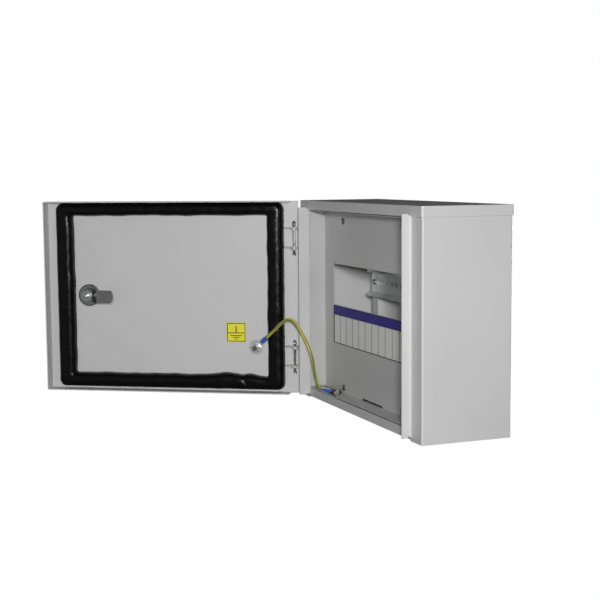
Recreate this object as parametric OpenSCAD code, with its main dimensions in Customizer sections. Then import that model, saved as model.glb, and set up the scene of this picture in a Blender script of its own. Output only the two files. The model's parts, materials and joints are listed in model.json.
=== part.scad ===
// Wall-mounted sheet steel enclosure for modular circuit breakers, with a hinged door.
// Everything is laid out from the lower front left corner of the body ("cabinet" coordinates):
// X to the right, Y into the wall, Z up. in_cabinet() then moves it to the part's own origin,
// the middle of the four wall fixings. Door pieces are drawn with the door shut, and on_door()
// swings them about the hinge axis.

/* [Body] */
// Width of the body
body_w = 332; // [320:1:360]
// Height to the top of the hood
body_h = 245; // [240:1:260]
// Depth of the body, from the front flanges to the back
body_d = 105; // [98:1:120]
// Thickness of the sheet steel
sheet_t = 1.2; // [1:0.1:1.5]
// Width of the front flanges at the sides of the opening
flange_w = 25.8; // [24:0.1:28]
// How far the sealing lips stand forward of the flanges: at the hinge side, at the lock side
lip_ds = [13.5, 10.7]; // [9:0.1:14]
// Height of the fascia over the opening and of the upstand under it
fascia_h = 11.5; // [10:0.1:12]
// How far the pads at the wall holes stand back from the body
pad_h = 3; // [2.5:0.1:4]
// Distance between the wall holes across the body
wall_dx = 280; // [260:1:290]
// Distance between the wall holes up the body
wall_dz = 190; // [170:1:200]
// Diameter of the wall holes
wall_hole_d = 7; // [6:0.1:8]

/* [Inner panel] */
// Depth of the panel's face behind the front flanges
panel_y = 20.6; // [19:0.1:22]
// Thickness of the panel's sheet
panel_t = 1; // [0.8:0.1:1.2]
// Width of one breaker module
module_w = 17.5; // [17.5:0.1:18]
// Number of modules that the window holds
module_count = 12; // [10:1:12]
// Height of the breaker window
window_h = 50; // [46:1:52]
// Height of the middle of the window
window_z = 143.5; // [140:0.1:150]
// Height of the circuit label under the window
label_h = 46.5; // [40:0.5:48]

/* [Rail] */
// Height of the mounting rail
rail_h = 35; // [35:35]
// Depth of the mounting rail, from its lips to its back
rail_d = 7.5; // [7.5:7.5]
// Depth of the rail's lips behind the front flanges
rail_y = 70; // [68:0.5:72]

/* [Door] */
// Angle that the door stands open at rest
door_open = 121; // [90:1:121]
// Depth of the door's folded edges
door_d = 18; // [17:0.1:18.2]
// Free thickness of the door's foam seal
gasket_t = 10; // [9.5:0.1:10.2]
// Diameter of the hinge pins
pin_d = 3.4; // [3.2:0.1:3.6]

/* [Lock] */
// Height of the lock's centre
lock_z = 124; // [118:1:130]
// Distance from the lock's centre to the cam's tip
cam_reach = 38; // [37:0.5:39]
// Width of the cam
cam_w = 16; // [14:0.5:17]

/* [Hidden] */

$fn = 48;
eps = 0.01;
powder_grey = [0.74, 0.75, 0.74];
zinc = [0.72, 0.73, 0.75];
brass = [0.75, 0.6, 0.3];
blue = [0.1, 0.25, 0.7];

// Opening between the flanges, and the tray that fills it
open_x0 = flange_w;
open_x1 = body_w - flange_w;
tray_gap = 1;
tray_x0 = open_x0 + tray_gap;
tray_x1 = open_x1 - tray_gap;
tray_z0 = fascia_h + tray_gap;
tray_z1 = body_h - fascia_h - tray_gap;
tray_front_y = 0.4;
window_w = module_w * module_count + 12;
window_x0 = (body_w - window_w) / 2;
window_z0 = window_z - window_h / 2;

// Screws of the inner panel
panel_screw_dx = 160;
panel_screw_z = [20, 221];
panel_screw_x = [(body_w - panel_screw_dx) / 2, (body_w + panel_screw_dx) / 2];
m4_r = 2;
m4_clear_r = 2.3;

// Inside faces of the body
inside_y = body_d - sheet_t;
pan_z0 = 1.4;
pan_z1 = pan_z0 + sheet_t;
shell_top = body_h - sheet_t - 0.1;

// Hinge axis and the levels of the door's four ears
hinge_x = 6;
hinge_y = -12;
ear_t = 1.5;
ear_levels = [37.2, 61.2, 186.3, 210.7];
ear_gap = 0.4;
pin_r = pin_d / 2;
pin_hole_r = pin_r + 0.08;

// Door skin, shut
door_x0 = 1.5;
door_x1 = body_w - 1.5;
door_z0 = 1.6;
door_z1 = body_h - 0.6;
door_front_y = -20;
door_inner_y = door_front_y + sheet_t;
edge_start_x = 12;

// Lock
lock_x = 275.8;
lock_hole_r = 9.6;
cam_head_y = door_inner_y + 10.6;
cam_tip_y = door_inner_y + 20.6;
cam_t = 2;

// Earth studs
m6_r = 3;
nut_af = 10;
body_stud = [79.5, 14];
door_stud = [56.6, 59.3];

// Earth lead: its middle line from the door's lug to the body's lug, at the open door
lead_d = 4;
lead_sides = 8;
lead_route = [
    [-8.3, -45, 72.7], [-4.5, -43.6, 75.6], [0, -41.2, 79.8], [5, -38, 84.5], [9.5, -34.5, 90],
    [13.5, -30.5, 94.7], [18, -26, 97.8], [22.2, -21.8, 97], [26, -18.3, 93], [29.7, -16, 88],
    [33.7, -14, 82], [37.7, -11.5, 75.3], [41.2, -9, 67.7], [43.6, -6.5, 59], [44.5, -4, 49],
    [43.5, -1.8, 38], [41.5, 1, 28], [41.8, 3, 21], [44.8, 3.6, 16.5], [51, 3.6, 13.8],
    [59, 4.9, 13]
];

module in_cabinet() {
    translate([-body_w / 2, -body_d - pad_h, -body_h / 2]) children();
}

module on_door() {
    in_cabinet()
        translate([hinge_x, hinge_y, 0])
            rotate([0, 0, -door_open])
                translate([-hinge_x, -hinge_y, 0])
                    children();
}

// A box from one corner to the other
module block(low, high) {
    translate(low) cube(high - low);
}

// A rectangle with true round corners
module round_rect(low, high, r) {
    translate([low.x + r, low.y]) square([high.x - low.x - 2 * r, high.y - low.y]);
    translate([low.x, low.y + r]) square([high.x - low.x, high.y - low.y - 2 * r]);
    for (x = [low.x + r, high.x - r], y = [low.y + r, high.y - r]) translate([x, y]) circle(r);
}

// A cylinder along +Y, starting at a point
module rod_y(at, r, length) {
    translate(at) rotate([-90, 0, 0]) cylinder(r = r, h = length);
}

// The concave filling of an inside bend, in the corner at the origin
module bend_fill(r) {
    difference() {
        square(r);
        translate([r, r]) circle(r);
    }
}

// A hexagonal nut with a bore, standing on the XY plane
module hex_nut(af, h, bore_r) {
    difference() {
        intersection() {
            cylinder(r = af / sqrt(3), h = h, $fn = 6);
            union() {
                cylinder(r1 = af / 2 - 0.1, r2 = af / 2 + 0.8, h = 0.9);
                translate([0, 0, 0.9]) cylinder(r = af / 2 + 0.8, h = h - 1.8);
                translate([0, 0, h - 0.9]) cylinder(r1 = af / 2 + 0.8, r2 = af / 2 - 0.1, h = 0.9);
            }
        }
        translate([0, 0, -1]) cylinder(r = bore_r, h = h + 2);
    }
}

// A pan-head screw with a cross recess: its head stands up from the XY plane, its shank goes down
module cross_screw(head_r, head_h, shank_r, shank_h) {
    difference() {
        intersection() {
            cylinder(r = head_r, h = head_h);
            translate([0, 0, head_h - head_r * 1.6]) sphere(r = head_r * 1.6);
        }
        for (a = [0, 90])
            rotate([0, 0, a])
                translate([-head_r * 0.6, -0.4, head_h - 1.1]) cube([head_r * 1.2, 0.8, 2]);
    }
    translate([0, 0, -shank_h]) cylinder(r = shank_r, h = shank_h + eps);
}

// Plan of the folded body: back, sides, front flanges and forward lips
module shell_plan() {
    bend_r = 2;
    lip_bend_r = 2.2;
    difference() {
        round_rect([0, 0], [body_w, body_d], bend_r);
        round_rect([sheet_t, sheet_t], [body_w - sheet_t, inside_y], bend_r - sheet_t);
        translate([open_x0, -1]) square([open_x1 - open_x0, sheet_t + 2]);
    }
    for (side = [0, 1])
        translate([side * body_w, 0])
            mirror([side, 0]) {
                translate([flange_w - sheet_t, -lip_ds[side]]) square([sheet_t, lip_ds[side] + sheet_t]);
                translate([flange_w - sheet_t, 0]) rotate([0, 0, 180]) bend_fill(lip_bend_r);
            }
}

// Cuts that shape the ends of one sealing lip, at the left of the opening
module lip_end_cuts(lip_d) {
    lip_top = body_h - 8.4;
    lip_low = 3.6;
    relief_r = 1.6;
    x = flange_w - sheet_t - 4;
    translate([x, -lip_d - 1, -1]) cube([8, lip_d + 1, lip_low + 1]);
    translate([x, -lip_d - 1, lip_top]) cube([8, lip_d + 1, 20]);
    // round relief at the root of the lip, at both ends
    for (z = [lip_low, lip_top])
        translate([x, -relief_r - 0.4, z]) rotate([0, 90, 0]) cylinder(r = relief_r, h = 8);
    // slanted lower corner of the lip
    translate([x, -lip_d, lip_low])
        rotate([-35, 0, 0])
            translate([0, 1.4, -6]) cube([8, 9, 6]);
}

module body_shell() {
    pad_r = 10;
    color(powder_grey) in_cabinet() difference() {
        union() {
            linear_extrude(shell_top) shell_plan();
            for (x = wall_xs(), z = wall_zs()) rod_y([x, body_d - eps, z], pad_r, pad_h + eps);
        }
        for (x = wall_xs(), z = wall_zs())
            rod_y([x, inside_y - 1, z], wall_hole_d / 2, pad_h + sheet_t + 2);
        lip_end_cuts(lip_ds[0]);
        translate([body_w, 0, 0]) mirror([1, 0, 0]) lip_end_cuts(lip_ds[1]);
        hood_seat_cut();
    }
}

function wall_xs() = [(body_w - wall_dx) / 2, (body_w + wall_dx) / 2];
function wall_zs() = [(body_h - wall_dz) / 2, (body_h + wall_dz) / 2];

// The flanges stop under the hood's front return
module hood_seat_cut() {
    block([open_x0 - 6, -1, body_h - fascia_h], [open_x1 + 6, sheet_t + 1, body_h]);
}

module top_hood() {
    side = sheet_t;
    back = body_d + sheet_t;
    low = body_h - fascia_h;
    return_d = 9;
    color(powder_grey) in_cabinet() {
        difference() {
            translate([0, 0, low])
                linear_extrude(fascia_h)
                    round_rect([-side, -side], [body_w + side, back], 2.6);
            translate([0, 0, low - 1])
                linear_extrude(fascia_h - sheet_t + 1)
                    round_rect([0, 0], [body_w, body_d], 2);
        }
        // return folded in under the fascia, over the opening
        block([open_x0 - 5, -side, low], [open_x1 + 5, return_d, low + sheet_t]);
    }
}

module bottom_pan() {
    rim = 10;
    entry_r = 10.2;
    x0 = sheet_t;
    x1 = body_w - sheet_t;
    color(powder_grey) in_cabinet() difference() {
        union() {
            block([x0, sheet_t, pan_z0], [x1, inside_y, pan_z1]);
            block([x0, sheet_t, pan_z0], [x0 + sheet_t, inside_y, pan_z0 + rim]);
            block([x1 - sheet_t, sheet_t, pan_z0], [x1, inside_y, pan_z0 + rim]);
            block([x0, inside_y - sheet_t, pan_z0], [x1, inside_y, pan_z0 + rim]);
            // upstand under the opening, in line with the front flanges
            block([open_x0, 0, pan_z0], [open_x1, 2, pan_z1]);
            block([open_x0, 0, pan_z0], [open_x1, sheet_t, fascia_h]);
        }
        for (x = entry_xs()) translate([x, entry_y, 0]) cylinder(r = entry_r, h = 6);
    }
}

entry_y = 60;
function entry_xs() = [for (i = [-1:1]) body_w / 2 + i * 60];

// Rubber grommets with a thin membrane that is pierced for a cable
module cable_grommets() {
    color([0.06, 0.06, 0.06]) in_cabinet()
        for (x = entry_xs())
            translate([x, entry_y, 0]) rotate_extrude() {
                polygon([[7.4, 4.6], [7.4, 1.9], [0, 1.9], [0, 2.5], [6.6, 3.2], [6.6, 4.6]]);
                translate([6.6, pan_z0 - 1.2]) square([3.5, 6.4]);
                translate([6.6, pan_z0 - 1.2]) square([6, 1.2]);
                translate([6.6, pan_z1]) square([5.4, 1.6]);
            }
}

// Four angle brackets that carry the inner panel, two on the floor and two under the hood
module panel_brackets() {
    w = 18;
    foot = 16;
    t = 1.5;
    back = panel_y + panel_t;
    color(powder_grey) in_cabinet()
        for (x = panel_screw_x, top = [0, 1]) {
            base = top == 0 ? pan_z1 : body_h - sheet_t;
            dir = top == 0 ? 1 : -1;
            reach = abs(panel_screw_z[top] - base) + 7;
            difference() {
                union() {
                    translate([x - w / 2, back, min(base, base + dir * reach)]) cube([w, t, reach]);
                    translate([x - w / 2, back, min(base, base + dir * t)]) cube([w, foot, t]);
                }
                rod_y([x, back - 1, panel_screw_z[top]], m4_r, t + 2);
            }
        }
}

// Shallow tray: a face with the breaker window, and walls that come forward to the opening
module inner_panel() {
    corner_r = 1.6;
    slot_w = 57;
    slot_x = body_w / 2;
    cam_notch_h = 62;
    notch_front_y = 1.4;
    notch_x1 = [82, 107];
    color([0.7, 0.71, 0.7]) in_cabinet() difference() {
        rotate([-90, 0, 0]) translate([0, 0, tray_front_y])
            linear_extrude(panel_y + panel_t - tray_front_y)
                mirror([0, 1]) round_rect([tray_x0, tray_z0], [tray_x1, tray_z1], corner_r);
        rotate([-90, 0, 0]) translate([0, 0, tray_front_y - 1])
            linear_extrude(panel_y - tray_front_y + 1)
                mirror([0, 1])
                    round_rect([tray_x0 + panel_t, tray_z0 + panel_t],
                        [tray_x1 - panel_t, tray_z1 - panel_t], corner_r - panel_t + 0.4);
        // window for the breakers
        block([window_x0, panel_y - 1, window_z0], [window_x0 + window_w, panel_y + 3, window_z0 + window_h]);
        // slot along the lower bend
        block([slot_x - slot_w / 2, panel_y - 1, tray_z0 + 0.8],
            [slot_x + slot_w / 2, panel_y + 3, tray_z0 + panel_t + 2]);
        // cut-out in the lower wall over the earth stud, with one slanted side
        translate([0, 0, tray_z0 - 1])
            linear_extrude(panel_t + 1.5)
                polygon([[tray_x0 + 0.5, notch_front_y], [notch_x1[1], notch_front_y],
                    [notch_x1[0], panel_y], [tray_x0 + 0.5, panel_y]]);
        // notch in the right wall where the cam swings behind the flange
        block([tray_x1 - 3, tray_front_y - 1, lock_z - cam_notch_h / 2],
            [tray_x1 + 1, 8, lock_z + cam_notch_h / 2]);
        for (x = panel_screw_x, z = panel_screw_z) rod_y([x, panel_y - 1, z], m4_clear_r, 4);
    }
}

module panel_screws() {
    color(zinc) in_cabinet()
        for (x = panel_screw_x, z = panel_screw_z)
            translate([x, panel_y, z])
                rotate([90, 0, 0]) cross_screw(3.8, 2.6, m4_r - 0.05, 9);
}

// Self-adhesive strip with one field a module, under the window
module circuit_label() {
    label_t = 0.3;
    color([0.86, 0.86, 0.84]) in_cabinet()
        block([window_x0, panel_y - label_t, window_z0 - label_h - 0.5],
            [window_x0 + window_w, panel_y, window_z0 - 0.5]);
}

// Two U-shaped uprights on the back, behind the ends of the rail
upright_w = 16;
upright_z0 = 92;
upright_z1 = 195;
upright_y = rail_y + rail_d;
rail_x0 = 45;
rail_x1 = body_w - rail_x0;

module rail_uprights() {
    t = 1.5;
    color(powder_grey) in_cabinet()
        for (x = [rail_x0, rail_x1 - upright_w])
            difference() {
                block([x, upright_y, upright_z0], [x + upright_w, inside_y, upright_z1]);
                block([x + t, upright_y + t, upright_z0 - 1], [x + upright_w - t, inside_y + 1, upright_z1 + 1]);
                rod_y([x + upright_w / 2, upright_y - 1, window_z], m4_r, t + 2);
            }
}

// Top-hat rail with a row of slots
module din_rail() {
    t = 1;
    web_h = 25;
    slot_pitch = 13;
    slot_count = 17;
    slot_w = 8;
    slot_h = 5.4;
    z0 = window_z - rail_h / 2;
    color(zinc) in_cabinet() difference() {
        translate([rail_x0, 0, 0]) rotate([90, 0, 90])
            linear_extrude(rail_x1 - rail_x0) {
                translate([upright_y - t, window_z - web_h / 2]) square([t, web_h]);
                for (s = [-1, 1]) translate([0, window_z]) mirror([0, s < 0 ? 1 : 0]) {
                    translate([rail_y, web_h / 2]) square([rail_d, t]);
                    translate([rail_y, web_h / 2]) square([t, (rail_h - web_h) / 2]);
                }
            }
        for (i = [0:slot_count - 1]) {
            x = body_w / 2 + (i - (slot_count - 1) / 2) * slot_pitch;
            for (dx = [-1, 1]) rod_y([x + dx * (slot_w - slot_h) / 2, upright_y - 3, window_z], slot_h / 2, 5);
            translate([x - (slot_w - slot_h) / 2, upright_y - 3, window_z - slot_h / 2])
                cube([slot_w - slot_h, 5, slot_h]);
        }
        for (x = rail_screw_xs()) rod_y([x, upright_y - 3, window_z], m4_clear_r, 5);
    }
}

function rail_screw_xs() = [rail_x0 + upright_w / 2, rail_x1 - upright_w / 2];

module rail_screws() {
    color(zinc) in_cabinet()
        for (x = rail_screw_xs())
            translate([x, upright_y - 1, window_z])
                rotate([90, 0, 0]) cross_screw(3.6, 2.4, m4_r - 0.05, 7);
}

// Terminal bars on the back wall: neutral above the rail, earth below it
bar_w = 9;
bar_d = 6.5;
bar_y = 78;
bar_x0 = 105;
bar_holes = 12;
bar_pitch = 9;
bar_length = bar_pitch * bar_holes + 18;
neutral_z = 206;
earth_z = 50;
terminal_screw_r = 2.2;

function bar_hole_x(i) = bar_x0 + 9 + (i + 0.5) * bar_pitch;
function bar_end_xs() = [bar_x0 + 4.5, bar_x0 + bar_length - 4.5];

// A brass bar with a row of wire holes up through it and a clamping screw in front of each
module terminal_bar(z) {
    difference() {
        block([bar_x0, bar_y, z - bar_w / 2], [bar_x0 + bar_length, bar_y + bar_d, z + bar_w / 2]);
        for (i = [0:bar_holes - 1]) {
            translate([bar_hole_x(i), bar_y + bar_d / 2 + 0.4, z - bar_w]) cylinder(r = 2.1, h = bar_w * 2);
            rod_y([bar_hole_x(i), bar_y - 1, z], terminal_screw_r, 3.4);
        }
        for (x = bar_end_xs()) rod_y([x, bar_y - 1, z], 2, bar_d + 2);
    }
}

module terminal_screws(z) {
    for (i = [0:bar_holes - 1])
        translate([bar_hole_x(i), bar_y - 1.2, z])
            rotate([-90, 0, 0]) difference() {
                cylinder(r = terminal_screw_r - 0.05, h = 3.2);
                translate([-3, -0.35, -1]) cube([6, 0.7, 1.9]);
            }
    for (x = bar_end_xs())
        translate([x, bar_y, z]) rotate([90, 0, 0]) cross_screw(3.4, 2.2, 1.9, bar_d + 3);
}

module neutral_bar() {
    color(brass) in_cabinet() terminal_bar(neutral_z);
}

module neutral_bar_screws() {
    color(zinc) in_cabinet() terminal_screws(neutral_z);
}

// Blue insulating feet under the neutral bar
module neutral_bar_insulators() {
    color(blue) in_cabinet()
        for (x = bar_end_xs())
            difference() {
                union() {
                    block([x - 5.5, bar_y + bar_d, neutral_z - 7], [x + 5.5, inside_y - 3, neutral_z + 7]);
                    block([x - 5.5, inside_y - 3, neutral_z - 13], [x + 5.5, inside_y, neutral_z + 13]);
                }
                rod_y([x, bar_y + bar_d - 1, neutral_z], 1.9, 5);
            }
}

module earth_bar() {
    color(brass) in_cabinet() terminal_bar(earth_z);
}

module earth_bar_screws() {
    color(zinc) in_cabinet() terminal_screws(earth_z);
}

// Steel feet that tie the earth bar to the body
module earth_bar_feet() {
    color(zinc) in_cabinet()
        for (x = bar_end_xs())
            difference() {
                rod_y([x, bar_y + bar_d, earth_z], 4, inside_y - bar_y - bar_d);
                rod_y([x, bar_y + bar_d - 1, earth_z], 1.9, 5);
            }
}

// Fixed half of the hinges: a plate on the flange with two ears, under each pair of door ears
module body_hinge_brackets() {
    ear_r = 4;
    neck_x0 = hinge_x - 2.4;
    neck_x1 = hinge_x + 3.4;
    top_of_low = ear_t / 2 + ear_gap;
    color([0.35, 0.35, 0.36]) in_cabinet()
        for (pair = [0, 1]) {
            levels = [ear_levels[2 * pair], ear_levels[2 * pair + 1]];
            difference() {
                union() {
                    for (z = levels)
                        translate([0, 0, z - top_of_low - ear_t]) {
                            translate([hinge_x, hinge_y, 0]) cylinder(r = ear_r, h = ear_t);
                            block([neck_x0, hinge_y, 0], [neck_x1, 0, ear_t]);
                        }
                    block([neck_x0, -ear_t, levels[0] - top_of_low - ear_t],
                        [neck_x1 + 6, 0, levels[1] - top_of_low]);
                }
                for (z = levels)
                    translate([hinge_x, hinge_y, z - top_of_low - ear_t - 1])
                        cylinder(r = pin_hole_r, h = ear_t + 2);
            }
        }
}

// Split pin: a shank of two halves, an eye on top and legs that spread under the lower ear
module hinge_pin(low_level, high_level) {
    eye_r = 3;
    wire_r = 0.85;
    shank_top = high_level + ear_t / 2 + 1.4;
    shank_low = low_level - ear_t / 2 - ear_gap - ear_t - 1.2;
    leg = 7;
    translate([hinge_x, hinge_y, 0]) {
        difference() {
            translate([0, 0, shank_low]) cylinder(r = pin_r, h = shank_top - shank_low);
            translate([-0.12, -3, shank_low - 1]) cube([0.24, 6, shank_top - shank_low - 1]);
        }
        translate([0, 0, shank_top + eye_r - 0.2])
            rotate([90, 0, 10]) rotate_extrude() translate([eye_r, 0]) circle(wire_r, $fn = 24);
        for (side = [-1, 1])
            translate([side * 0.9, 0, shank_low + 0.5])
                rotate([0, side * 150, 0]) cylinder(r = 0.8, h = leg);
    }
}

module upper_hinge_pin() {
    color(zinc) in_cabinet() hinge_pin(ear_levels[2], ear_levels[3]);
}

module lower_hinge_pin() {
    color(zinc) in_cabinet() hinge_pin(ear_levels[0], ear_levels[1]);
}

// Earth stud on the floor of the body
module body_earth_stud() {
    color(zinc) in_cabinet()
        translate([body_stud.x, body_stud.y, pan_z1]) {
            cylinder(r = m6_r, h = 14.5);
            cylinder(r = 5.5, h = 1.5);
            cylinder(r = 4.6, h = lug_z - pan_z1);
        }
}

lug_z = pan_z1 + 6.9;
lug_t = 1;
body_lug_tilt = 6;
door_lug_tilt = 30;

module body_earth_nut() {
    color(zinc) in_cabinet()
        translate([body_stud.x, body_stud.y, lug_z + lug_t]) hex_nut(nut_af, 5, m6_r);
}

// Ring lug: an eye round the stud and a barrel along +X that is tilted up from the eye
lug_bend_x = 6;
lug_sleeve_x = 7;
lug_grip = 2.8;

module lug_barrel_frame(tilt) {
    translate([lug_bend_x, 0, lug_t]) rotate([0, -tilt, 0]) translate([0, 0, -lug_t]) children();
}

module ring_lug(tilt) {
    difference() {
        union() {
            cylinder(r = 5.6, h = lug_t);
            translate([0, -2.4, 0]) cube([lug_bend_x + 0.3, 4.8, lug_t]);
            lug_barrel_frame(tilt) {
                translate([-0.4, -2.4, 0]) cube([4, 4.8, lug_t]);
                translate([3, 0, 1.8]) rotate([0, 90, 0]) cylinder(r = 2.1, h = lug_sleeve_x + lug_grip - 3);
            }
        }
        translate([0, 0, -1]) cylinder(r = m6_r, h = lug_t + 3);
    }
}

// Insulating sleeve over the lug's barrel
module lug_sleeve(tilt) {
    sleeve_length = 11.5;
    lug_barrel_frame(tilt) translate([lug_sleeve_x, 0, 1.8]) rotate([0, 90, 0]) difference() {
        union() {
            cylinder(r = 2.9, h = sleeve_length - 5);
            translate([0, 0, sleeve_length - 5]) cylinder(r1 = 2.9, r2 = 2.5, h = 5);
        }
        translate([0, 0, -1]) cylinder(r = 2.1, h = lug_grip + 1);
        translate([0, 0, sleeve_length - 2]) cylinder(r = lead_d / 2 + 0.15, h = 3);
    }
}

module at_body_lug() {
    in_cabinet() translate([body_stud.x, body_stud.y, lug_z]) rotate([0, 0, 204]) children();
}

module body_lug() {
    color(zinc) at_body_lug() ring_lug(body_lug_tilt);
}

module body_lug_sleeve() {
    color(blue) at_body_lug() lug_sleeve(body_lug_tilt);
}

// The lead as one tube swept along its route
function unit(v) = v / norm(v);
function lead_dir(i) =
    unit(lead_route[min(i + 1, len(lead_route) - 1)] - lead_route[max(i - 1, 0)]);
function lead_ring(i) =
    let (d = lead_dir(i), u = unit(cross(d, [0.3, 1, 0.2])), v = cross(d, u))
    [for (k = [0:lead_sides - 1])
        lead_route[i] + lead_d / 2 * (cos(360 * k / lead_sides) * u + sin(360 * k / lead_sides) * v)];

module earth_lead() {
    n = len(lead_route);
    m = lead_sides;
    points = [for (i = [0:n - 1]) each lead_ring(i)];
    sides = [for (i = [0:n - 2], k = [0:m - 1]) let (a = i * m + k, b = i * m + (k + 1) % m)
        each [[a, b, b + m], [a, b + m, a + m]]];
    ends = [[for (k = [m - 1:-1:0]) k], [for (k = [0:m - 1]) (n - 1) * m + k]];
    color([0.65, 0.7, 0.15]) in_cabinet() polyhedron(points, concat(sides, ends));
}

// Door: a skin with edges folded back on three sides
module door_panel() {
    edge_back = door_front_y + door_d;
    bend_r = 1.6;
    color(powder_grey) on_door() difference() {
        union() {
            difference() {
                block([door_x0, door_front_y, door_z0], [door_x1, edge_back, door_z1]);
                block([door_x0 - 1, door_inner_y, door_z0 + sheet_t],
                    [door_x1 - sheet_t, edge_back + 1, door_z1 - sheet_t]);
                // the folded edges start clear of the hinge
                block([door_x0 - 1, door_inner_y, door_z0 - 1], [edge_start_x, edge_back + 1, door_z1 + 1]);
            }
        }
        rod_y([lock_x, door_front_y - 1, lock_z], lock_hole_r, 4);
        // round bend along the free edge
        translate([door_x1 - bend_r, door_front_y + bend_r, door_z0 - 1])
            difference() {
                translate([0, -bend_r - 1, 0]) cube([bend_r + 1, bend_r + 1, door_z1 - door_z0 + 2]);
                translate([0, 0, -1]) cylinder(r = bend_r, h = door_z1 - door_z0 + 4);
            }
    }
}

// Foam seal: a frame with a rounded front and round outer corners
gasket_x0 = door_x0 + 18.3;
gasket_x1 = door_x1 - 12;
gasket_z0 = door_z0 + 3;
gasket_z1 = door_z1 - 1.6;
gasket_side_w = 22.5;
gasket_end_w = 19;

module door_gasket() {
    crown = 2.5;
    outer_r = 7;
    color([0.05, 0.05, 0.05]) on_door() translate([0, door_inner_y, 0])
        for (step = [0, 1]) {
            inset = step * crown;
            depth = step == 0 ? gasket_t - crown : gasket_t;
            rotate([90, 0, 0]) translate([0, 0, -depth])
                linear_extrude(depth) difference() {
                    round_rect([gasket_x0 + inset, gasket_z0 + inset],
                        [gasket_x1 - inset, gasket_z1 - inset], outer_r);
                    translate([gasket_x0 + gasket_side_w - inset, gasket_z0 + gasket_end_w - inset])
                        square([gasket_x1 - gasket_x0 - 2 * (gasket_side_w - inset),
                            gasket_z1 - gasket_z0 - 2 * (gasket_end_w - inset)]);
                }
        }
}

// Moving half of the hinges: a plate on the door's skin with two ears round the pin
module door_hinge_brackets() {
    ear_r = 4.4;
    base_x1 = gasket_x0 - 0.5;
    base_x0 = door_x0 + 1.4;
    color(powder_grey) on_door()
        for (pair = [0, 1]) {
            levels = [ear_levels[2 * pair], ear_levels[2 * pair + 1]];
            difference() {
                union() {
                    for (z = levels)
                        translate([0, 0, z - ear_t / 2]) linear_extrude(ear_t) {
                            translate([hinge_x, hinge_y]) circle(ear_r);
                            polygon([[base_x0, door_inner_y], [base_x1, door_inner_y],
                                [base_x1, door_inner_y + 3], [hinge_x + 2.2, hinge_y + 3.8],
                                [hinge_x - 2.2, hinge_y]]);
                        }
                    block([base_x0, door_inner_y, levels[0] - ear_t / 2],
                        [base_x1, door_inner_y + 1, levels[1] + ear_t / 2]);
                }
                for (z = levels)
                    translate([hinge_x, hinge_y, z - ear_t]) cylinder(r = pin_hole_r, h = ear_t * 2);
            }
        }
}

module earth_label() {
    side = 25;
    color([0.9, 0.82, 0.1]) on_door()
        block([70.4, door_inner_y, 65.3], [70.4 + side, door_inner_y + 0.25, 65.3 + side]);
}

module at_door_stud() {
    on_door() translate([door_stud.x, door_inner_y, door_stud.y]) rotate([-90, 0, 0]) children();
}

module door_earth_stud() {
    color(brass) at_door_stud() cylinder(r = m6_r, h = 13);
}

door_lug_h = 1.6;

module door_earth_washer() {
    color(zinc) at_door_stud() difference() {
        cylinder(r = 9, h = door_lug_h);
        translate([0, 0, -1]) cylinder(r = m6_r, h = 4);
    }
}

module door_earth_nut() {
    color(zinc) at_door_stud() translate([0, 0, door_lug_h + lug_t]) hex_nut(nut_af, 5, m6_r);
}

// The door's lug points up and towards the hinge
module at_door_lug() {
    at_door_stud() translate([0, 0, door_lug_h]) rotate([0, 0, -138]) children();
}

module door_lug() {
    color(zinc) at_door_lug() ring_lug(door_lug_tilt);
}

module door_lug_sleeve() {
    color(blue) at_door_lug() lug_sleeve(door_lug_tilt);
}

// Pieces of the lock are drawn along the lock's axis, from the door's outer face inwards
module at_lock() {
    on_door() translate([lock_x, door_front_y, lock_z]) rotate([-90, 0, 0]) children();
}

plug_r = 6.5;
lock_end = cam_head_y - door_front_y;
lock_proud = 3;

module lock_body() {
    color(zinc) at_lock() difference() {
        union() {
            translate([0, 0, -lock_proud]) cylinder(r1 = 11.2, r2 = 12, h = 1);
            translate([0, 0, 1 - lock_proud]) cylinder(r = 12, h = lock_proud - 1);
            cylinder(r = 9.5, h = lock_end - 0.3);
        }
        translate([0, 0, -lock_proud - 1]) cylinder(r = plug_r + 0.08, h = lock_end + lock_proud + 2);
    }
}

module lock_nut() {
    nut_h = 4.5;
    color(zinc) at_lock() translate([0, 0, sheet_t]) difference() {
        union() {
            cylinder(r = 14, h = 1.2);
            translate([0, 0, 1.2 - eps]) cylinder(r = 14, h = nut_h - 2.2);
            translate([0, 0, nut_h - 1 - eps]) cylinder(r1 = 14, r2 = 12.6, h = 1);
        }
        translate([0, 0, -1]) cylinder(r = 9.5, h = nut_h + 3);
    }
}

// Turning plug with a three-sided key drive in its face
module lock_plug() {
    drive_r = 3.6;
    square_w = 7;
    color([0.6, 0.6, 0.62]) at_lock() difference() {
        union() {
            translate([0, 0, -lock_proud + 0.4]) cylinder(r = plug_r, h = lock_end + lock_proud - 0.4);
            translate([-square_w / 2, -square_w / 2, 0]) cube([square_w, square_w, lock_end + cam_t]);
        }
        translate([0, 0, -lock_proud - 1]) difference() {
            cylinder(r = plug_r - 1.2, h = 8);
            translate([0, 0, -1]) cylinder(r = drive_r, h = 12, $fn = 3);
        }
        translate([0, 0, lock_end + cam_t - 6]) cylinder(r = 2, h = 8);
    }
}

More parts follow.
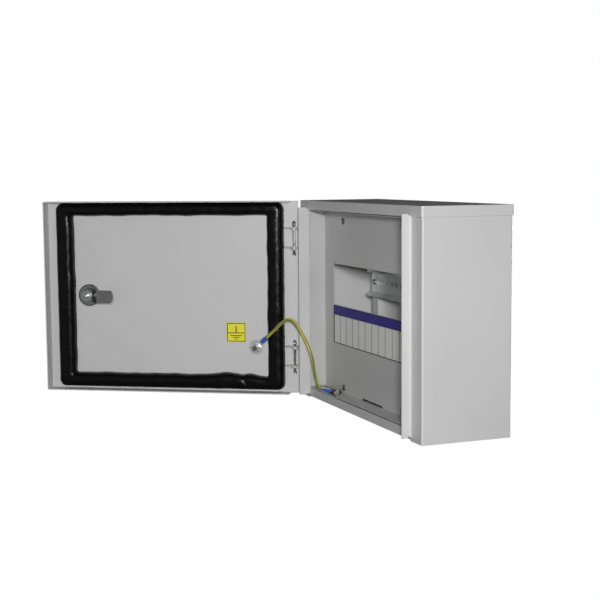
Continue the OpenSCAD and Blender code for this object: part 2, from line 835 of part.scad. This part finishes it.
// Cranked cam: a head on the plug, a slope and a flat tip that hooks behind the flange
module lock_cam() {
    head_r = 9;
    slope_x0 = 8;
    slope_x1 = 17;
    rise = cam_tip_y - cam_head_y;
    color(zinc) at_lock() translate([0, 0, lock_end]) rotate([0, 0, 180]) difference() {
        union() {
            cylinder(r = head_r, h = cam_t);
            translate([0, -cam_w / 2, 0]) cube([slope_x0 + 0.5, cam_w, cam_t]);
            rotate([90, 0, 0]) translate([0, 0, -cam_w / 2]) linear_extrude(cam_w)
                polygon([[slope_x0, 0], [slope_x1, rise], [slope_x1, rise + cam_t],
                    [slope_x1 - 0.9, rise + cam_t], [slope_x0 - 0.9, cam_t], [slope_x0 - 0.9, 0]]);
            translate([slope_x1 - 0.5, -cam_w / 2, rise])
                cube([cam_reach - slope_x1 + 0.5 - 4, cam_w, cam_t]);
            translate([cam_reach - 12, 0, rise]) intersection() {
                cylinder(r = 12, h = cam_t);
                translate([0, -cam_w / 2, 0]) cube([12, cam_w, cam_t]);
            }
        }
        translate([-3.6, -3.6, -1]) cube([7.2, 7.2, cam_t + 2]);
    }
}

module cam_screw() {
    color(zinc) at_lock() translate([0, 0, lock_end + cam_t]) {
        difference() {
            cylinder(r = 6, h = 0.9);
            translate([0, 0, -1]) cylinder(r = 1, h = 0.5);
        }
        translate([0, 0, 0.9 - eps]) cross_screw(4, 2.8, 1.95, 6);
    }
}

body_shell();
top_hood();
bottom_pan();
cable_grommets();
panel_brackets();
inner_panel();
panel_screws();
circuit_label();
rail_uprights();
din_rail();
rail_screws();
neutral_bar();
neutral_bar_insulators();
neutral_bar_screws();
earth_bar();
earth_bar_feet();
earth_bar_screws();
body_hinge_brackets();
upper_hinge_pin();
lower_hinge_pin();
body_earth_stud();
body_earth_nut();
body_lug();
body_lug_sleeve();
earth_lead();
door_panel();
door_gasket();
door_hinge_brackets();
earth_label();
door_earth_stud();
door_earth_washer();
door_earth_nut();
door_lug();
door_lug_sleeve();
lock_body();
lock_nut();
lock_plug();
lock_cam();
cam_screw();
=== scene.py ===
import json
import math

import bpy
from mathutils import Matrix, Vector, noise


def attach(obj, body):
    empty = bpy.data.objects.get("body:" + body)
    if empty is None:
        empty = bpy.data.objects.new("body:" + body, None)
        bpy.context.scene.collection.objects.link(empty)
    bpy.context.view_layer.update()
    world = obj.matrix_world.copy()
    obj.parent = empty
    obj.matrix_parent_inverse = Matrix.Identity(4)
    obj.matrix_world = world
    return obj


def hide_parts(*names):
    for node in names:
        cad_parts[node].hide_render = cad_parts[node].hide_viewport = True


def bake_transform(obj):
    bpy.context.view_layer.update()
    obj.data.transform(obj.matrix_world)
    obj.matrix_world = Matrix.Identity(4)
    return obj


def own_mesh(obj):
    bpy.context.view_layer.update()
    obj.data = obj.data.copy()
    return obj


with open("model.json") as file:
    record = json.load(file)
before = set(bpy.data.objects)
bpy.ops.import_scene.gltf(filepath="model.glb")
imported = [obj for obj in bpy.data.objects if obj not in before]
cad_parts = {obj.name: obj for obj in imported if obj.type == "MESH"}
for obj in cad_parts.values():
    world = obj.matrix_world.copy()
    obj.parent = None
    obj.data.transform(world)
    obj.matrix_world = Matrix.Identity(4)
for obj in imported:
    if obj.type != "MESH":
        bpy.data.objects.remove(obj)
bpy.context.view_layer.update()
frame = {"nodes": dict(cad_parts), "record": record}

NODES = frame["nodes"]
SCENE = bpy.context.scene

# The cabinet's measurements in millimetres, as in the CAD source: X right, Y into the body, Z up
BODY_W, BODY_D, BODY_H, PAD_H = 332.0, 105.0, 245.0, 3.0
HINGE = (6.0, -12.0)
DOOR_OPEN = math.radians(121)
DOOR_INNER_Y = -18.8


def cab(x, y, z):
    """A point in cabinet millimetres, as a vector in the row frame in metres."""
    return Vector(((x - BODY_W / 2) / 1000, (y - BODY_D - PAD_H) / 1000, (z - BODY_H / 2) / 1000))


def turn(x, y):
    """A direction of the shut door, as it lies at rest."""
    c, s = math.cos(-DOOR_OPEN), math.sin(-DOOR_OPEN)
    return x * c - y * s, x * s + y * c


def on_door(x, y, z):
    """A point of the shut door, as it lies at rest, in the row frame."""
    dx, dy = turn(x - HINGE[0], y - HINGE[1])
    return cab(HINGE[0] + dx, HINGE[1] + dy, z)


DOOR_ALONG = Vector((*turn(1, 0), 0))

# ---------------------------------------------------------------- camera
SENSOR_W = 36
LENS = 74.334
CAMERA_AT = (1446.5, -569.5, 279.6)
YAW, PITCH, ROLL = math.radians(-68.592), math.radians(-5.883), math.radians(-0.457)


def add_camera():
    """A long lens on the right of the enclosure, a little above its top."""
    camera = bpy.data.objects.new("camera", bpy.data.cameras.new("camera"))
    SCENE.collection.objects.link(camera)
    SCENE.camera = camera
    camera.data.sensor_width = SENSOR_W
    camera.data.lens = LENS
    camera.data.clip_end = 100
    camera.data.dof.use_dof = False
    ahead = Vector((math.sin(YAW) * math.cos(PITCH), math.cos(YAW) * math.cos(PITCH), math.sin(PITCH)))
    level = Vector((math.cos(YAW), -math.sin(YAW), 0))
    above = level.cross(ahead)
    right = math.cos(ROLL) * level + math.sin(ROLL) * above
    up = -math.sin(ROLL) * level + math.cos(ROLL) * above
    turned = Matrix((right, up, -ahead)).transposed().to_4x4()
    camera.matrix_world = Matrix.Translation(cab(*CAMERA_AT)) @ turned


add_camera()


# ---------------------------------------------------------------- meshes
def add_mesh(name, points, faces, smooth=True):
    data = bpy.data.meshes.new(name)
    data.from_pydata([tuple(p) for p in points], [], faces)
    data.update()
    obj = bpy.data.objects.new(name, data)
    SCENE.collection.objects.link(obj)
    for polygon in data.polygons:
        polygon.use_smooth = smooth
    return obj


def smooth_line(points, steps):
    """Catmull-Rom curve through the points."""
    line = []
    padded = [2 * points[0] - points[1], *points, 2 * points[-1] - points[-2]]
    for a, b, c, d in zip(padded, padded[1:], padded[2:], padded[3:]):
        for k in range(steps):
            t = k / steps
            line.append(
                0.5 * (2 * b + (c - a) * t + (2 * a - 5 * b + 4 * c - d) * t * t
                       + (3 * b - a - 3 * c + d) * t * t * t)
            )
    return line + [points[-1]]


# ---------------------------------------------------------------- earth lead
# The route from the door's sleeve to the body's sleeve, in cabinet millimetres
LEAD_ROUTE = [
    (-8.3, -45, 72.7), (-4.5, -43.6, 75.6), (0, -41.2, 79.8), (5, -38, 84.5), (9.5, -34.5, 90),
    (13.5, -30.5, 94.7), (18, -26, 97.8), (22.2, -21.8, 97), (26, -18.3, 93), (29.7, -16, 88),
    (33.7, -14, 82), (37.7, -11.5, 75.3), (41.2, -9, 67.7), (43.6, -6.5, 59), (44.5, -4, 49),
    (43.5, -1.8, 38), (41.5, 1, 28), (41.8, 3, 21), (44.8, 3.6, 16.5), (51, 3.6, 13.8),
    (59, 4.9, 13),
]
LEAD_R = 0.002
LEAD_SIDES = 18
LEAD_STEPS = 8
# The stripes wind slowly round the lead: one turn in STRIPE_LAY metres, and green on
# GREEN_SIDES out of every STRIPE_SIDES sides
STRIPE_LAY = 0.21
STRIPE_START = 2.4
STRIPE_SIDES, GREEN_SIDES = 9, 4
FIRST_NORMAL = Vector((0.4, -0.6, 0.7))


def build_lead():
    """The lead's tube, its middle line, and whether each face is green."""
    line = smooth_line([cab(*p) for p in LEAD_ROUTE], LEAD_STEPS)
    final = len(line) - 1
    points, faces, green = [], [], []
    normal = FIRST_NORMAL
    travelled = 0
    for i, p in enumerate(line):
        d = (line[min(i + 1, final)] - line[max(i - 1, 0)]).normalized()
        normal = (normal - d * normal.dot(d)).normalized()
        side = d.cross(normal)
        if i:
            travelled += (p - line[i - 1]).length
        lay = travelled / STRIPE_LAY * 2 * math.pi + STRIPE_START
        for k in range(LEAD_SIDES):
            a = 2 * math.pi * k / LEAD_SIDES + lay
            points.append(p + LEAD_R * (math.cos(a) * normal + math.sin(a) * side))
    for i in range(final):
        for k in range(LEAD_SIDES):
            j = (k + 1) % LEAD_SIDES
            faces.append([i * LEAD_SIDES + k, i * LEAD_SIDES + j,
                          (i + 1) * LEAD_SIDES + j, (i + 1) * LEAD_SIDES + k])
            green.append(k % STRIPE_SIDES < GREEN_SIDES)
    faces.append([k for k in range(LEAD_SIDES - 1, -1, -1)])
    faces.append([final * LEAD_SIDES + k for k in range(LEAD_SIDES)])
    green += [False, False]
    return add_mesh("earth_lead_cord", points, faces), line, green


lead, lead_line, lead_green = build_lead()

# ---------------------------------------------------------------- foam seal
# Each edge of the seal, in the shut door's X and Z: its limits in X, in Z, and its corner radius
SEAL_OUTER = (19.8, 318.5), (4.6, 242.8), 9.0
SEAL_INNER = (42.0, 294.9), (23.6, 225.8), 2.0
# The four corners as (right, top, the angle at which the corner's arc starts)
SEAL_CORNERS = [(True, False, -90), (True, True, 0), (False, True, 90), (False, False, 180)]
SEAL_THICK = 10.0
ARC_STEPS = 8
STRIP_STEPS = 90
ACROSS = 18
# The bead's cross-section: a crown with nearly upright sides
SIDE_POWER, CROWN_POWER = 2.8, 2.1
# How far the hand-poured foam wanders, and over what distance
OUTER_WANDER, OUTER_WAVE = 0.72, 26
INNER_WANDER, INNER_WAVE = 1.1, 22
CROWN_WANDER, CROWN_WAVE = 0.05, 15
# Where the pour meets its start, in the lower strip near the hinge: (height, centre, width)
POUR_Z, POUR_X = 30, (30, 300)
POUR_EDGE = [(3.6, 97, 13), (2.0, 64, 8), (-0.9, 74.5, 2.6), (-1.8, 38, 16)]
POUR_CROWN = [(-0.16, 75, 2.2), (0.05, 64, 7)]


def corner_point(edge, right, top, degrees):
    """A point of an edge's rounded corner."""
    (x0, x1), (z0, z1), radius = edge
    a = math.radians(degrees)
    middle_x = x1 - radius if right else x0 + radius
    middle_z = z1 - radius if top else z0 + radius
    return middle_x + radius * math.cos(a), middle_z + radius * math.sin(a)


def between(a, b, t):
    return tuple(p + (q - p) * t for p, q in zip(a, b))


def seal_stations():
    """Pairs of an outer point and an inner point, round the door."""
    stations = []
    for i, (right, top, start) in enumerate(SEAL_CORNERS):
        for k in range(ARC_STEPS + 1):
            degrees = start + 90 * k / ARC_STEPS
            stations.append([corner_point(edge, right, top, degrees) for edge in (SEAL_OUTER, SEAL_INNER)])
        here = stations[-1]
        following = [corner_point(edge, *SEAL_CORNERS[(i + 1) % 4]) for edge in (SEAL_OUTER, SEAL_INNER)]
        for k in range(1, STRIP_STEPS):
            stations.append([between(a, b, k / STRIP_STEPS) for a, b in zip(here, following)])
    return stations


def bumps(x, table):
    return sum(height * math.exp(-((x - centre) / width) ** 2) for height, centre, width in table)


def wander(x, z, wave, layer):
    return noise.noise(Vector((x / wave, z / wave, layer)))


def build_seal():
    stations = seal_stations()
    points, faces = [], []
    for (ox, oz), (nx, nz) in stations:
        outer_shift = OUTER_WANDER * abs(wander(ox, oz, OUTER_WAVE, 3))
        inner_shift = INNER_WANDER * wander(nx, nz, INNER_WAVE, 9)
        crown = 1 + CROWN_WANDER * wander(ox, oz, CROWN_WAVE, 5)
        reach = math.hypot(ox - nx, oz - nz)
        ux, uz = (ox - nx) / reach, (oz - nz) / reach
        if oz < POUR_Z and POUR_X[0] < nx < POUR_X[1]:
            nz += bumps(nx, POUR_EDGE)
            crown += bumps(nx, POUR_CROWN)
        outer = ox - ux * outer_shift, oz - uz * outer_shift
        inner = nx - ux * inner_shift, nz - uz * inner_shift
        for k in range(ACROSS + 1):
            t = k / ACROSS
            profile = (1 - abs(2 * t - 1) ** SIDE_POWER) ** (1 / CROWN_POWER)
            x, z = between(outer, inner, t)
            points.append(on_door(x, DOOR_INNER_Y + profile * SEAL_THICK * min(crown, 1.0), z))
    count, row = len(stations), ACROSS + 1
    for i in range(count):
        j = (i + 1) % count
        for k in range(ACROSS):
            faces.append([i * row + k, i * row + k + 1, j * row + k + 1, j * row + k])
        # the flat face that is stuck to the door
        faces.append([i * row, j * row, j * row + ACROSS, i * row + ACROSS])
    return add_mesh("foam_seal", points, faces)


seal = build_seal()


# ---------------------------------------------------------------- materials
class Graph:
    """A small helper that builds shader nodes from expressions."""

    def __init__(self, name):
        self.material = bpy.data.materials.new(name)
        self.material.use_nodes = True
        self.tree = self.material.node_tree
        self.shader = self.tree.nodes["Principled BSDF"]

    def node(self, kind, **settings):
        made = self.tree.nodes.new(kind)
        for key, value in settings.items():
            setattr(made, key, value)
        return made

    def put(self, socket, value):
        if isinstance(value, bpy.types.NodeSocket):
            self.tree.links.new(value, socket)
        else:
            socket.default_value = value

    def maths(self, operation, a, b=0.0, c=0.0):
        made = self.node("ShaderNodeMath", operation=operation)
        for socket, value in zip(made.inputs, (a, b, c)):
            self.put(socket, value)
        return made.outputs[0]

    def within(self, value, middle, reach):
        """1 where the value is nearer to the middle than the reach."""
        return self.maths("LESS_THAN", self.distance(value, middle), reach)

    def distance(self, value, middle):
        return self.maths("ABSOLUTE", self.maths("SUBTRACT", value, middle))

    def place(self):
        return self.node("ShaderNodeTexCoord").outputs["Object"]

    def stretched(self, scale):
        made = self.node("ShaderNodeMapping")
        self.put(made.inputs["Vector"], self.place())
        made.inputs["Scale"].default_value = scale
        return made.outputs[0]

    def noise(self, scale, detail=3.0, rough=0.55, at=None):
        made = self.node("ShaderNodeTexNoise")
        self.put(made.inputs["Vector"], at or self.place())
        made.inputs["Scale"].default_value = scale
        made.inputs["Detail"].default_value = detail
        made.inputs["Roughness"].default_value = rough
        return made.outputs["Fac"]

    def ramp(self, value, low, high, out_low, out_high):
        made = self.node("ShaderNodeMapRange")
        for socket, v in zip(made.inputs, (value, low, high, out_low, out_high)):
            self.put(socket, v)
        return made.outputs[0]

    def mix(self, factor, a, b):
        made = self.node("ShaderNodeMix", data_type="RGBA")
        self.put(made.inputs["Factor"], factor)
        for socket, v in ((made.inputs[6], a), (made.inputs[7], b)):
            self.put(socket, (*v, 1) if isinstance(v, tuple) else v)
        return made.outputs[2]

    def bump(self, height, strength, distance, soften=0.0):
        """A bump from the height; soften rounds the sharp edges, in metres."""
        made = self.node("ShaderNodeBump")
        made.inputs["Strength"].default_value = strength
        made.inputs["Distance"].default_value = distance
        self.put(made.inputs["Height"], height)
        if soften:
            edge = self.node("ShaderNodeBevel", samples=4)
            edge.inputs["Radius"].default_value = soften
            self.put(made.inputs["Normal"], edge.outputs[0])
        self.put(self.shader.inputs["Normal"], made.outputs[0])

    def set(self, **values):
        for key, value in values.items():
            wide = (*value, 1) if isinstance(value, tuple) else value
            self.put(self.shader.inputs[key.replace("_", " ")], wide)


def shade(colour, factor):
    return tuple(min(1, c * factor) for c in colour)


def powder_coat(name, colour, rough=0.42):
    """Light grey polyester powder: fine orange peel, faint cloudiness, a few darker specks."""
    g = Graph(name)
    cloud = g.noise(9, 4)
    speck = g.noise(2600, 1, 0.4)
    tone = g.mix(g.ramp(cloud, 0.35, 0.65, 0, 1), shade(colour, 0.975), shade(colour, 1.02))
    tone = g.mix(g.ramp(speck, 0.66, 0.74, 0, 0.35), tone, shade(colour, 0.8))
    fine_peel = g.maths("MULTIPLY", g.noise(1700, 2, 0.5), 0.35)
    peel = g.maths("ADD", g.noise(620, 2, 0.5), fine_peel)
    gloss = g.ramp(g.noise(240, 3), 0.3, 0.7, rough - 0.05, rough + 0.06)
    g.set(Base_Color=tone, Roughness=gloss, IOR=1.5)
    g.bump(peel, 0.22, 0.00035, soften=0.0006)
    return g.material


def plated(name, colour, rough, streak=(1, 1, 1), spots=(0.8, 0.8, 0.8), metal=1.0):
    """Plated metal: streaks of roughness, slightly cloudy plating, faint scratches."""
    g = Graph(name)
    grain = g.noise(700, 4, 0.6, g.stretched(streak))
    cloud = g.noise(60, 4, 0.6)
    tone = g.mix(g.ramp(cloud, 0.4, 0.7, 0, 1), colour, tuple(c * s for c, s in zip(colour, spots)))
    g.set(Base_Color=tone, Metallic=metal, Roughness=g.ramp(grain, 0.3, 0.7, rough - 0.08, rough + 0.1))
    g.bump(grain, 0.12, 0.0001, soften=0.0003)
    return g.material


def plastic(name, colour, rough):
    """Smooth plastic or rubber, with a faintly uneven colour and gloss."""
    g = Graph(name)
    tone = g.mix(g.noise(130, 3), shade(colour, 0.88), shade(colour, 1.08))
    gloss = g.ramp(g.noise(300, 2), 0.3, 0.7, rough - 0.06, rough + 0.08)
    g.set(Base_Color=tone, Roughness=gloss, IOR=1.48)
    g.bump(g.noise(900, 3), 0.1, 0.0002, soften=0.0003)
    return g.material


def foam_skin():
    """Poured foam: black, a slightly shiny skin with pores and shallow waves."""
    g = Graph("seal_foam_skin")
    pores = g.noise(900, 3, 0.6)
    waves = g.noise(90, 3, 0.5)
    g.set(Base_Color=g.mix(waves, (0.0015, 0.0015, 0.002), (0.0035, 0.0035, 0.004)),
          Roughness=g.ramp(waves, 0.3, 0.7, 0.22, 0.32), IOR=1.45, Specular_IOR_Level=0.2)
    g.bump(g.maths("ADD", g.maths("MULTIPLY", pores, 0.25), waves), 0.45, 0.0009)
    return g.material


# The circuit label in cabinet millimetres: twelve fields under a violet band, and a dark line along its foot
# that is painted shadow under the strip's lower edge
FIELDS, FIELDS_X, FIELD_W = 12, 57.5, 18.08
LABEL_Z, LABEL_TOP, BAND_Z = 71.5, 118.0, 106.6
FIELD_LINE, PAINTED_FOOT_SHADOW, RIM_LINE, BAND_LINE = 1.1, 1.1, 0.5, 0.7


def circuit_print_and_shadow():
    """One field for each of twelve modules, under a violet band, with no lettering; the dark line along the
    foot is painted shadow.
    """
    g = Graph("circuit_print_and_shadow")
    parts = g.node("ShaderNodeSeparateXYZ")
    g.put(parts.inputs[0], g.place())
    x = g.maths("MULTIPLY_ADD", parts.outputs["X"], 1000.0, BODY_W / 2)
    z = g.maths("MULTIPLY_ADD", parts.outputs["Z"], 1000.0, BODY_H / 2)
    field = g.maths("DIVIDE", g.maths("SUBTRACT", x, FIELDS_X), FIELD_W)
    off_middle = g.distance(g.maths("FRACT", field), 0.5)
    line = g.maths("GREATER_THAN", off_middle, 0.5 - FIELD_LINE / 2 / FIELD_W)
    beside = g.maths("GREATER_THAN", g.distance(field, FIELDS / 2), FIELDS / 2)
    # painted shadow: a dark line along the label's foot, where shade falls in the gap under the strip
    foot_shadow_mask = g.maths("LESS_THAN", z, LABEL_Z + PAINTED_FOOT_SHADOW)
    rim = g.maths("GREATER_THAN", z, LABEL_TOP - RIM_LINE)
    in_band = g.maths("GREATER_THAN", z, BAND_Z)
    under_band = g.within(z, BAND_Z, BAND_LINE / 2)
    paper = g.mix(g.noise(45, 3), (0.66, 0.66, 0.63), (0.74, 0.74, 0.72))
    tone = g.mix(line, paper, (0.10, 0.10, 0.09))
    violet = g.mix(g.noise(80, 3), (0.028, 0.018, 0.20), (0.036, 0.024, 0.25))
    tone = g.mix(in_band, tone, violet)
    # the near-black colour fills the rim, the line under the band, the margins beside the fields, and the
    # painted shadow at the foot
    dark = g.maths("MAXIMUM", g.maths("MAXIMUM", foot_shadow_mask, rim), g.maths("MAXIMUM", under_band, beside))
    tone = g.mix(dark, tone, (0.02, 0.018, 0.03))
    g.set(Base_Color=tone, Roughness=g.ramp(g.noise(200, 2), 0.3, 0.7, 0.36, 0.48), Specular_IOR_Level=0.15)
    g.bump(g.noise(800, 2), 0.05, 0.0002)
    return g.material


# The earth label in millimetres, with its lower corner in the shut door's X and Z
EARTH_CORNER = (70.4, 65.3)
EARTH_SIZE = 25.0
EARTH_BORDER = (10.9, 11.9)
# The symbol's stem and bars: (half width, height of the middle, half height)
EARTH_SYMBOL = [(0.75, 16.2, 4.4), (10.4, 11.8, 0.55), (7.6, 8.4, 0.5), (4.4, 5.9, 0.5), (1.4, 3.6, 0.5)]


def earth_print():
    """Yellow square with a black border and the earth symbol."""
    g = Graph("earth_print")
    offset = g.node("ShaderNodeVectorMath", operation="SUBTRACT")
    g.put(offset.inputs[0], g.place())
    offset.inputs[1].default_value = on_door(EARTH_CORNER[0], DOOR_INNER_Y, EARTH_CORNER[1])
    along = g.node("ShaderNodeVectorMath", operation="DOT_PRODUCT")
    g.put(along.inputs[0], offset.outputs[0])
    along.inputs[1].default_value = DOOR_ALONG
    split = g.node("ShaderNodeSeparateXYZ")
    g.put(split.inputs[0], offset.outputs[0])
    z = g.maths("MULTIPLY", split.outputs["Z"], 1000.0)
    off_s = g.distance(g.maths("MULTIPLY", along.outputs["Value"], 1000.0), EARTH_SIZE / 2)
    far = g.maths("MAXIMUM", off_s, g.distance(z, EARTH_SIZE / 2))
    inner, outer = EARTH_BORDER
    ink = g.maths("MULTIPLY", g.maths("GREATER_THAN", far, inner), g.maths("LESS_THAN", far, outer))
    for half_width, middle, half_height in EARTH_SYMBOL:
        bar = g.maths("MULTIPLY", g.maths("LESS_THAN", off_s, half_width), g.within(z, middle, half_height))
        ink = g.maths("MAXIMUM", ink, bar)
    yellow = g.mix(g.noise(70, 3), (0.76, 0.71, 0.03), (0.83, 0.78, 0.05))
    gloss = g.ramp(g.noise(150, 2), 0.3, 0.7, 0.28, 0.4)
    g.set(Base_Color=g.mix(ink, yellow, (0.06, 0.055, 0.01)), Roughness=gloss)
    g.bump(g.noise(500, 2), 0.05, 0.0002)
    return g.material


MATERIALS = {
    "powder_grey": powder_coat("powder_grey_coat", (0.57, 0.572, 0.57)),
    "panel_grey": powder_coat("panel_grey_coat", (0.47, 0.475, 0.47), 0.36),
    "zinc": plated("zinc_plate", (0.60, 0.61, 0.62), 0.36),
    "dark_steel": plated("dulled_zinc", (0.36, 0.36, 0.36), 0.3, spots=(0.8, 0.78, 0.74)),
    "stud_brass": plated("tarnished_brass", (0.20, 0.13, 0.09), 0.42, spots=(0.6, 0.5, 0.5)),
    "bar_brass": plated("drawn_brass", (0.72, 0.55, 0.24), 0.3, streak=(0.05, 1, 1), spots=(0.85, 0.8, 0.7)),
    "seal_foam": foam_skin(),
    "grommet_rubber": plastic("grommet_rubber", (0.012, 0.012, 0.012), 0.6),
    "label_print": circuit_print_and_shadow(),
    "yellow_label": earth_print(),
    "blue_pvc": plastic("blue_sleeve_pvc", (0.03, 0.13, 0.5), 0.32),
    "blue_insulator": plastic("blue_polyamide", (0.05, 0.14, 0.45), 0.5),
    "lock_chrome": plated("lock_chrome", (0.33, 0.33, 0.34), 0.16),
    "cam_steel": plated("cam_zinc", (0.36, 0.36, 0.37), 0.16, streak=(1, 1, 6)),
}
# Two zinc parts are brighter and less mirror-like than the rest
BRIGHT_ZINC = plated("bright_zinc_plate", (0.86, 0.87, 0.88), 0.34, metal=0.75)
BRIGHT_NODES = ("din_rail", "door_lug")
for entry in frame["record"]["subparts"]:
    obj = NODES[entry["node"]]
    finish = MATERIALS.get(entry["material_slot"])
    if entry["node"] in BRIGHT_NODES:
        finish = BRIGHT_ZINC
    if finish:
        obj.data.materials.clear()
        obj.data.materials.append(finish)

seal.data.materials.append(MATERIALS["seal_foam"])
lead.data.materials.append(plastic("lead_yellow", (0.50, 0.42, 0.05), 0.3))
lead.data.materials.append(plastic("lead_green", (0.19, 0.22, 0.04), 0.3))
for polygon, is_green in zip(lead.data.polygons, lead_green):
    polygon.material_index = int(is_green)

# ---------------------------------------------------------------- soft pieces
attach(seal, "door")
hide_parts("door_gasket")
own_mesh(seal)

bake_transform(lead)
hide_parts("earth_lead")

# ---------------------------------------------------------------- light and surroundings
WHITE = (1, 1, 1, 1)
FLOOR_Z, FLOOR_REACH = -0.75, 40
# The room is brighter on the side of the lights than behind and over the object
BRIGHT_SIDE = (0.78, -0.62, -0.1)
ROOM_LIGHT = {"From Min": -0.3, "From Max": 0.8, "To Min": 0.02, "To Max": 0.115}


def area_light(name, place, aim, size, power):
    lamp = bpy.data.objects.new(name, bpy.data.lights.new(name, "AREA"))
    SCENE.collection.objects.link(lamp)
    lamp.data.shape = "SQUARE"
    lamp.data.size = size
    lamp.data.energy = power
    lamp.location = place
    lamp.rotation_mode = "QUATERNION"
    lamp.rotation_quaternion = (Vector(aim) - Vector(place)).to_track_quat("-Z", "Y")


def add_world():
    """White where the camera sees it, and a dim room for everything else."""
    world = bpy.data.worlds.new("studio")
    SCENE.world = world
    world.use_nodes = True
    tree = world.node_tree
    seen = tree.nodes["Background"]
    seen.inputs["Color"].default_value = WHITE
    seen.inputs["Strength"].default_value = 1.0
    room = tree.nodes.new("ShaderNodeBackground")
    room.inputs["Color"].default_value = WHITE
    compass = tree.nodes.new("ShaderNodeTexCoord")
    facing = tree.nodes.new("ShaderNodeVectorMath")
    facing.operation = "DOT_PRODUCT"
    facing.inputs[1].default_value = BRIGHT_SIDE
    dimming = tree.nodes.new("ShaderNodeMapRange")
    for name, value in ROOM_LIGHT.items():
        dimming.inputs[name].default_value = value
    ray = tree.nodes.new("ShaderNodeLightPath")
    both = tree.nodes.new("ShaderNodeMixShader")
    for output, socket in (
        (compass.outputs["Generated"], facing.inputs[0]),
        (facing.outputs["Value"], dimming.inputs["Value"]),
        (dimming.outputs[0], room.inputs["Strength"]),
        (ray.outputs["Is Camera Ray"], both.inputs[0]),
        (room.outputs[0], both.inputs[1]),
        (seen.outputs[0], both.inputs[2]),
        (both.outputs[0], tree.nodes["World Output"].inputs["Surface"]),
    ):
        tree.links.new(output, socket)


def add_floor():
    """A white floor that only the camera sees."""
    r = FLOOR_REACH
    corners = [(-r, -r, FLOOR_Z), (r, -r, FLOOR_Z), (r, r, FLOOR_Z), (-r, r, FLOOR_Z)]
    floor = add_mesh("floor", corners, [[0, 1, 2, 3]], smooth=False)
    white = bpy.data.materials.new("pale_floor")
    white.use_nodes = True
    tree = white.node_tree
    glow = tree.nodes.new("ShaderNodeEmission")
    glow.inputs["Color"].default_value = WHITE
    tree.links.new(glow.outputs[0], tree.nodes["Material Output"].inputs["Surface"])
    floor.data.materials.append(white)
    floor.visible_diffuse = False
    floor.visible_glossy = False
    floor.visible_shadow = False
    return floor


area_light("key", (1.46, -0.70, 0.26), (0, -0.1, 0), 0.18, 21)
area_light("front", (0.5, -2.2, 0.0), (0, -0.1, 0), 1.6, 2.0)
area_light("behind", (-1.3, 1.7, -0.1), (0, 0, 0), 1.2, 36)
add_world()
add_floor()

SCENE.view_settings.view_transform = "Standard"
SCENE.view_settings.look = "None"
